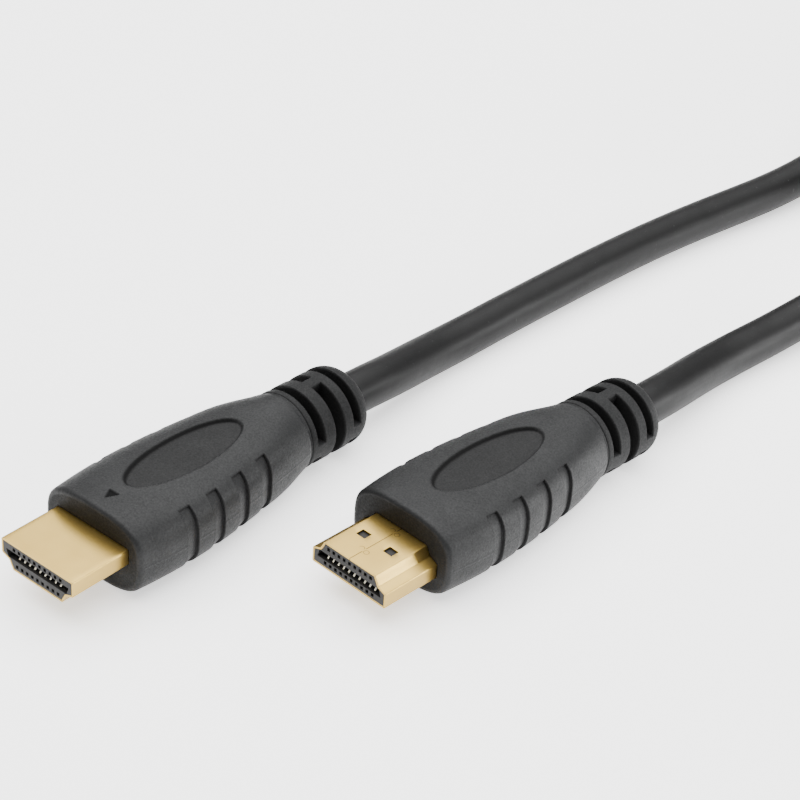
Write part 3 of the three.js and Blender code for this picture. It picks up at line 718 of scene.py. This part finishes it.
def make_strap(name, middle, side):
    """A flat woven strap round the three turns of one run. Its line is a stadium round the
    stack, and it goes once round and then lies on itself for a while. The side is the one that
    its loose end lies on."""
    low, high = layer_height(0), layer_height(LAYERS - 1)
    tall = high - low
    loops = np.linspace(0.0, STRAP_LOOPS, 260)
    on_itself = (STRAP_THICK + LAP_GAP) * ease((loops - LAP_FROM) / LAP_RISE)
    reach = CABLE_RADIUS + STRAP_GAP + STRAP_THICK / 2 + on_itself
    arc = math.pi * STRAP_TURN
    total = 2 * tall + 2 * arc
    at = (loops * total) % total
    # Up the outer side from its middle, over the top, down the inner side and back underneath
    lengths = np.array([tall / 2, arc, tall, arc, tall / 2])
    marks = np.concatenate([[0.0], np.cumsum(lengths)])
    part = np.clip(np.searchsorted(marks, at, side="right") - 1, 0, 4)
    share = (at - marks[part]) / lengths[part]
    angle = np.select([part == 0, part == 1, part == 2, part == 3],
                      [math.pi, math.pi * (1 - share), 0.0, -math.pi * share], math.pi)
    height = np.select([part == 0, part == 1, part == 2, part == 3],
                       [low + tall / 2 + share * tall / 2, high, high - share * tall, low],
                       low + share * tall / 2)
    line = np.stack([middle - side * reach * np.cos(angle), np.full(len(at), STRAP_MIDDLE),
                     height + reach * np.sin(angle)], -1)
    t = STRAP_THICK / 2
    section = round_corners([(-STRAP_HALF, -t), (STRAP_HALF, -t), (STRAP_HALF, t),
                             (-STRAP_HALF, t)], [0.2 * MM] * 4, 4)
    grid = sweep_in_plane(line, section)
    distance = np.linspace(0.0, STRAP_LOOPS * total, len(line))
    across = np.concatenate([section[:, 0], section[:1, 0]])
    faces, uv = tube_faces(len(line), len(section), across, distance)
    piece = make_piece(name, grid + FIRST_NOSE, faces, uv)
    point_outwards(piece)
    return piece


def sweep_in_plane(line, section):
    """Carries a section along a line that stays in one upright plane: the section's first number
    goes along y, and its second square to the line within the plane."""
    ahead = np.gradient(line, axis=0)
    ahead /= np.linalg.norm(ahead, axis=1, keepdims=True)
    out = np.stack([-ahead[:, 2], np.zeros(len(line)), ahead[:, 0]], -1)
    along_y = np.array([0.0, 1.0, 0.0])
    return (line[:, None, :] + section[None, :, :1] * along_y
            + section[None, :, 1:] * out[:, None, :])


straps = {"tie": make_strap("strap_left", RUN_LEFT, -1.0),
          "tie_right": make_strap("strap_right", RUN_RIGHT, 1.0)}


# Finishes

class Signal:
    """A shader socket. Plain arithmetic on it adds Math nodes."""

    def __init__(self, finish, socket):
        self.finish, self.socket = finish, socket

    def math(self, operation, *others, first=None):
        """A Math node on this signal and others. A given first value comes before them."""
        values = dict(enumerate((self, *others) if first is None else (first, self)))
        return self.finish.node("ShaderNodeMath", {"operation": operation}, values)

    def __add__(self, other): return self.math("ADD", other)
    def __radd__(self, other): return self.math("ADD", other)
    def __sub__(self, other): return self.math("SUBTRACT", other)
    def __rsub__(self, other): return self.math("SUBTRACT", first=other)
    def __mul__(self, other): return self.math("MULTIPLY", other)
    def __rmul__(self, other): return self.math("MULTIPLY", other)
    def __truediv__(self, other): return self.math("DIVIDE", other)
    def __rtruediv__(self, other): return self.math("DIVIDE", first=other)
    def __abs__(self): return self.math("ABSOLUTE")


class Finish:
    """A material round one Principled shader. Numbers given here are set on its own sockets."""

    def __init__(self, name, **constants):
        self.material = bpy.data.materials.new(name)
        self.material.use_nodes = True
        self.tree = self.material.node_tree
        self.shader = next(n for n in self.tree.nodes if n.type == "BSDF_PRINCIPLED")
        for socket, value in constants.items():
            self.shader.inputs[socket.replace("_", " ")].default_value = value

    def node(self, kind, settings=None, inputs=None, output=0):
        """Adds a node: settings are its own properties, and inputs are numbers or signals."""
        made = self.tree.nodes.new(kind)
        for key, value in (settings or {}).items():
            setattr(made, key, value)
        for key, value in (inputs or {}).items():
            if isinstance(value, Signal):
                self.tree.links.new(value.socket, made.inputs[key])
            else:
                made.inputs[key].default_value = value
        return Signal(self, made.outputs[output])

    def place(self, source="Object", scale=(1.0, 1.0, 1.0)):
        """Where a point is: on the object, or in the piece's own UV map, stretched by a scale."""
        if source == "UV":
            where = self.node("ShaderNodeUVMap", {"uv_map": "surface"})
        else:
            where = self.node("ShaderNodeTexCoord", output="Object")
        return self.node("ShaderNodeMapping", None, {"Vector": where, "Scale": scale})

    def across_and_along(self):
        """The two numbers of the piece's own UV map."""
        split = self.node("ShaderNodeSeparateXYZ", None, {0: self.place("UV")})
        return split, Signal(self, split.socket.node.outputs["Y"])

    def noise(self, where, scale, detail=2.0, roughness=0.5):
        """Soft random shades from 0 to 1. The scale is in waves per metre."""
        return self.node("ShaderNodeTexNoise", None, {
            "Vector": where, "Scale": scale, "Detail": detail, "Roughness": roughness})

    def mix(self, share, low, high):
        """A colour between two, by a share from 0 to 1."""
        # By number, because the node has sockets of the same name for each kind of value
        return self.node("ShaderNodeMix", {"data_type": "RGBA"}, {0: share, 6: low, 7: high}, 2)

    def bump(self, height, distance, strength=1.0, below=None):
        """Raised detail as high as the distance, over another bump where one is given."""
        inputs = {"Height": height, "Distance": distance, "Strength": strength}
        if below is not None:
            inputs["Normal"] = below
        return self.node("ShaderNodeBump", None, inputs)

    def connect(self, **inputs):
        """Links signals to the shader's own sockets, and returns the material."""
        for socket, signal in inputs.items():
            self.tree.links.new(signal.socket, self.shader.inputs[socket.replace("_", " ")])
        return self.material


def grey(value, warmth=0.0):
    """A grey, with a little more red and less blue where it is warm."""
    return (value * (1 + warmth), value, value * (1 - warmth), 1.0)


def moulded_charcoal():
    """Matte moulded plastic: an even fine grain, soft clouds where it was handled, darker and
    smoother inside the oval, arrow and finger grips, and painted shade from the dark
    attribute: dark corners where light doesn't reach, dark slots, and darker front faces and
    strain relief."""
    finish = Finish("moulded_charcoal", Specular_IOR_Level=0.22)
    where = finish.place()
    grain = finish.noise(where, 3400.0, 3.0, 0.7)
    pits = finish.node("ShaderNodeTexVoronoi", None, {"Vector": where, "Scale": 2600.0})
    clouds = finish.noise(where, 300.0, 2.0, 0.5)
    broad = finish.noise(where, 60.0, 2.0, 0.5)
    # Darker and smoother inside the oval, arrow and finger grips
    recess_darkening = finish.node("ShaderNodeAttribute", {"attribute_name": "recess_darkening"}, output="Fac")
    # Painted shade from the grip: it darkens the colour to near black and roughens the surface
    dark = finish.node("ShaderNodeAttribute", {"attribute_name": "dark"}, output="Fac")
    tone = clouds * 0.2 + broad * 0.2 + grain * 0.6
    base = finish.mix((tone - 0.3) * 2.5, (0.0018, 0.0020, 0.0022, 1.0),
                      (0.0125, 0.0130, 0.0134, 1.0))
    skin = finish.mix(recess_darkening, base, (0.0018, 0.0019, 0.0020, 1.0))
    colour = finish.mix(dark, skin, (0.0003, 0.0003, 0.0003, 1.0))
    rough = 0.52 - (clouds - 0.5) * 0.12 - (grain - 0.5) * 0.5 + recess_darkening * 0.12 + dark * 0.5
    fine = finish.bump(grain * 0.7 + pits * 0.3, 0.06 * MM, 0.8)
    return finish.connect(Base_Color=colour, Roughness=rough, Normal=fine)


LOCK_ASIDE, LOCK_RADIUS, SEAM_HALF = 0.55 * MM, 0.40 * MM, 0.10 * MM


def gold_plate():
    """Pale gold over rolled sheet: faint rolling lines along the plug, soft clouds, a hairline
    seam down the middle of the narrow side with two small interlocks."""
    finish = Finish("gold_plate", Metallic=1.0)
    where = finish.place()
    rolled = finish.noise(finish.place(scale=(9000.0, 500.0, 9000.0)), 1.0, 3.0, 0.6)
    clouds = finish.noise(where, 220.0, 2.0, 0.5)
    fine = finish.noise(where, 9000.0, 2.0, 0.6)
    x, y = finish.across_and_along()
    line = abs(x)
    for centre_y, side in ((2.7, 1.0), (2.7, -1.0), (8.6, 1.0), (8.6, -1.0)):
        dx, dy = x - side * LOCK_ASIDE, y - (centre_y + side * 0.12) * MM
        ring = abs((dx * dx + dy * dy).math("SQRT") - LOCK_RADIUS)
        gap = 0.3 * MM - abs(dy)
        # Near the interlock the straight line gives way to the rings
        line = line + gap.math("MAXIMUM", 0.0) * 0.5
        line = line.math("MINIMUM", ring + 0.02 * MM)
    seam = 1.0 - (line / SEAM_HALF).math("MINIMUM", 1.0)
    light = finish.mix(clouds, (0.47, 0.325, 0.092, 1.0), (0.40, 0.265, 0.07, 1.0))
    colour = finish.mix(seam * 0.9, light, (0.03, 0.018, 0.006, 1.0))
    rough = 0.24 + rolled * 0.14 + clouds * 0.06
    relief = finish.bump(rolled * 0.6 + fine * 0.4 - seam * 3.0, 0.006 * MM, 0.6)
    return finish.connect(Base_Color=colour, Roughness=rough, Normal=relief)


def contact_gold():
    """Bright gold on the springs, a little cloudy and rubbed paler where a socket touches."""
    finish = Finish("contact_gold", Metallic=1.0)
    where = finish.place()
    clouds = finish.noise(where, 900.0, 3.0, 0.6)
    fine = finish.noise(where, 8000.0, 2.0, 0.5)
    colour = finish.mix(clouds, (1.0, 0.95, 0.80, 1.0), (0.95, 0.86, 0.64, 1.0))
    return finish.connect(Base_Color=colour, Roughness=0.20 + clouds * 0.16,
                          Normal=finish.bump(fine, 0.004 * MM, 0.5))


def insulator_plastic():
    """Grey glass-filled plastic: tiny pale flecks and a fine grain."""
    finish = Finish("insulator_plastic", Specular_IOR_Level=0.2)
    where = finish.place()
    flecks = finish.noise(where, 7000.0, 3.0, 0.7)
    clouds = finish.noise(where, 700.0, 2.0, 0.5)
    colour = finish.mix(flecks * 0.6 + clouds * 0.4, grey(0.0085, 0.06), grey(0.021, 0.06))
    return finish.connect(Base_Color=colour, Roughness=0.42 + clouds * 0.2,
                          Normal=finish.bump(flecks, 0.012 * MM, 0.6))


def sheath_black():
    """Satin sheath: long faint drawing lines along the cable, slow waves where the wires press
    through, fine grain and a few dust specks."""
    finish = Finish("sheath_black", Specular_IOR_Level=0.18)
    along = finish.noise(finish.place("UV", scale=(26.0, 90.0, 1.0)), 1.0, 3.0, 0.6)
    waves = finish.noise(finish.place("UV", scale=(3.0, 130.0, 1.0)), 1.0, 2.0, 0.5)
    where = finish.place()
    grain = finish.noise(where, 4500.0, 2.0, 0.6)
    dust = finish.noise(where, 1500.0, 1.0, 0.5)
    specks = ((dust - 0.72) * 12.0).math("MAXIMUM", 0.0).math("MINIMUM", 1.0)
    dark = finish.mix(along, (0.0009, 0.0009, 0.0010, 1.0), (0.0024, 0.0024, 0.0025, 1.0))
    colour = finish.mix(specks * 0.25, dark, (0.05, 0.05, 0.05, 1.0))
    rough = 0.40 + along * 0.16 + (grain - 0.5) * 0.14
    slow = finish.bump(waves, 0.22 * MM, 0.9)
    fine = finish.bump(grain * 0.5 + along * 0.5, 0.03 * MM, 0.8, slow)
    return finish.connect(Base_Color=colour, Roughness=rough, Normal=fine)


THREAD_PITCH = 0.9 * MM


def woven_strap():
    """Black woven strap: threads cross over and under each other, with a rubbed nap."""
    finish = Finish("woven_strap", Sheen_Weight=0.08, Specular_IOR_Level=0.2)
    across, along = (part * (2 * math.pi / THREAD_PITCH) for part in finish.across_and_along())
    weave = (across.math("SINE") * along.math("SINE")) * 0.5 + 0.5
    nap = finish.noise(finish.place(), 2600.0, 4.0, 0.7)
    colour = finish.mix(weave * 0.5 + nap * 0.5, grey(0.0015), grey(0.009))
    return finish.connect(Base_Color=colour, Roughness=0.72 + nap * 0.2,
                          Normal=finish.bump(weave * 0.6 + nap * 0.4, 0.12 * MM, 0.8))


def paint(piece, material):
    """Gives a piece its finish. A CAD node keeps its slots and has each one filled."""
    if piece.data.materials:
        for k in range(len(piece.data.materials)):
            piece.data.materials[k] = material
    else:
        piece.data.materials.append(material)


charcoal, gold, spring_gold = moulded_charcoal(), gold_plate(), contact_gold()
plastic, black, woven = insulator_plastic(), sheath_black(), woven_strap()


# The finished pieces, each in place of its plain solids

for plug in PLUG_PLACES:
    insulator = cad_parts[f"insulator_{plug}"]
    paint(insulator, plastic)
    for piece, material, slot in ((grips[plug], charcoal, "grip"), (shells[plug], gold, "shell"),
                                  (contacts[plug], spring_gold, "contact")):
        paint(piece, material)
        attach(piece, "root")
    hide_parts(f"grip_{plug}")
    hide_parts(f"shell_{plug}")
    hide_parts(*[f"contact_{plug}_wide_{k + 1}" for k in range(10)],
                *[f"contact_{plug}_narrow_{k + 1}" for k in range(9)])

for piece, material, slot in ((cable, black, "cable"), (straps["tie"], woven, "tie"),
                              (straps["tie_right"], woven, "tie")):
    paint(piece, material)
    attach(piece, "root")
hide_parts("cable_from_a", "cable_from_b", "hank")
for node, strap in straps.items():
    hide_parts(node)

cable_exit = np.array([lean_at(SLEEVE_END, "a"), SLEEVE_END, AXIS_HEIGHT]) + FIRST_NOSE


# Floor and light

def add_floor():
    """A pale level floor, wide enough to fill every view."""
    size = 3.0
    points = [(-size, -size, 0.0), (size, -size, 0.0), (size, size, 0.0), (-size, size, 0.0)]
    floor = make_piece("floor", np.array(points) - [0, 0, 0.00005], [[0, 1, 2, 3]])
    finish = Finish("floor_white", Roughness=0.7, Specular_IOR_Level=0.2, Emission_Strength=1.1,
                    Emission_Color=(1.0, 1.0, 1.0, 1.0))
    shade = finish.noise(finish.place(), 3.0, 1.0, 0.5)
    finish.connect(Base_Color=finish.mix(shade, grey(0.93), grey(0.95)))
    floor.data.materials.append(finish.material)


def add_light(name, place, aim, size, power):
    """A square soft light at a place, facing a point."""
    data = bpy.data.lights.new(name, "AREA")
    data.shape, data.size, data.energy = "SQUARE", size, power
    light = bpy.data.objects.new(name, data)
    back = np.array(place, float) - np.array(aim, float)
    back /= np.linalg.norm(back)
    side = np.cross([0.0, 1.0, 0.001], back)
    side /= np.linalg.norm(side)
    turn = Matrix([list(row) for row in np.stack([side, np.cross(back, side), back], -1)])
    light.matrix_world = Matrix.Translation(place) @ turn.to_4x4()
    bpy.context.scene.collection.objects.link(light)


def add_surroundings():
    """Even white surroundings that fill the shadows."""
    world = bpy.data.worlds.new("surroundings")
    world.use_nodes = True
    background = next(n for n in world.node_tree.nodes if n.type == "BACKGROUND")
    background.inputs["Color"].default_value = (1.0, 1.0, 1.0, 1.0)
    background.inputs["Strength"].default_value = 0.35
    bpy.context.scene.world = world


add_floor()
add_surroundings()
add_light("overhead", (-0.10, 0.15, 1.0), (0.0, 0.03, 0.0), 1.7, 52.0)
add_light("right_back", (0.62, 0.52, 0.17), (0.0, 0.0, 0.0), 0.32, 6.5)
add_light("left_front", (-0.42, -0.50, 0.55), (0.0, -0.03, 0.0), 0.35, 0.8)
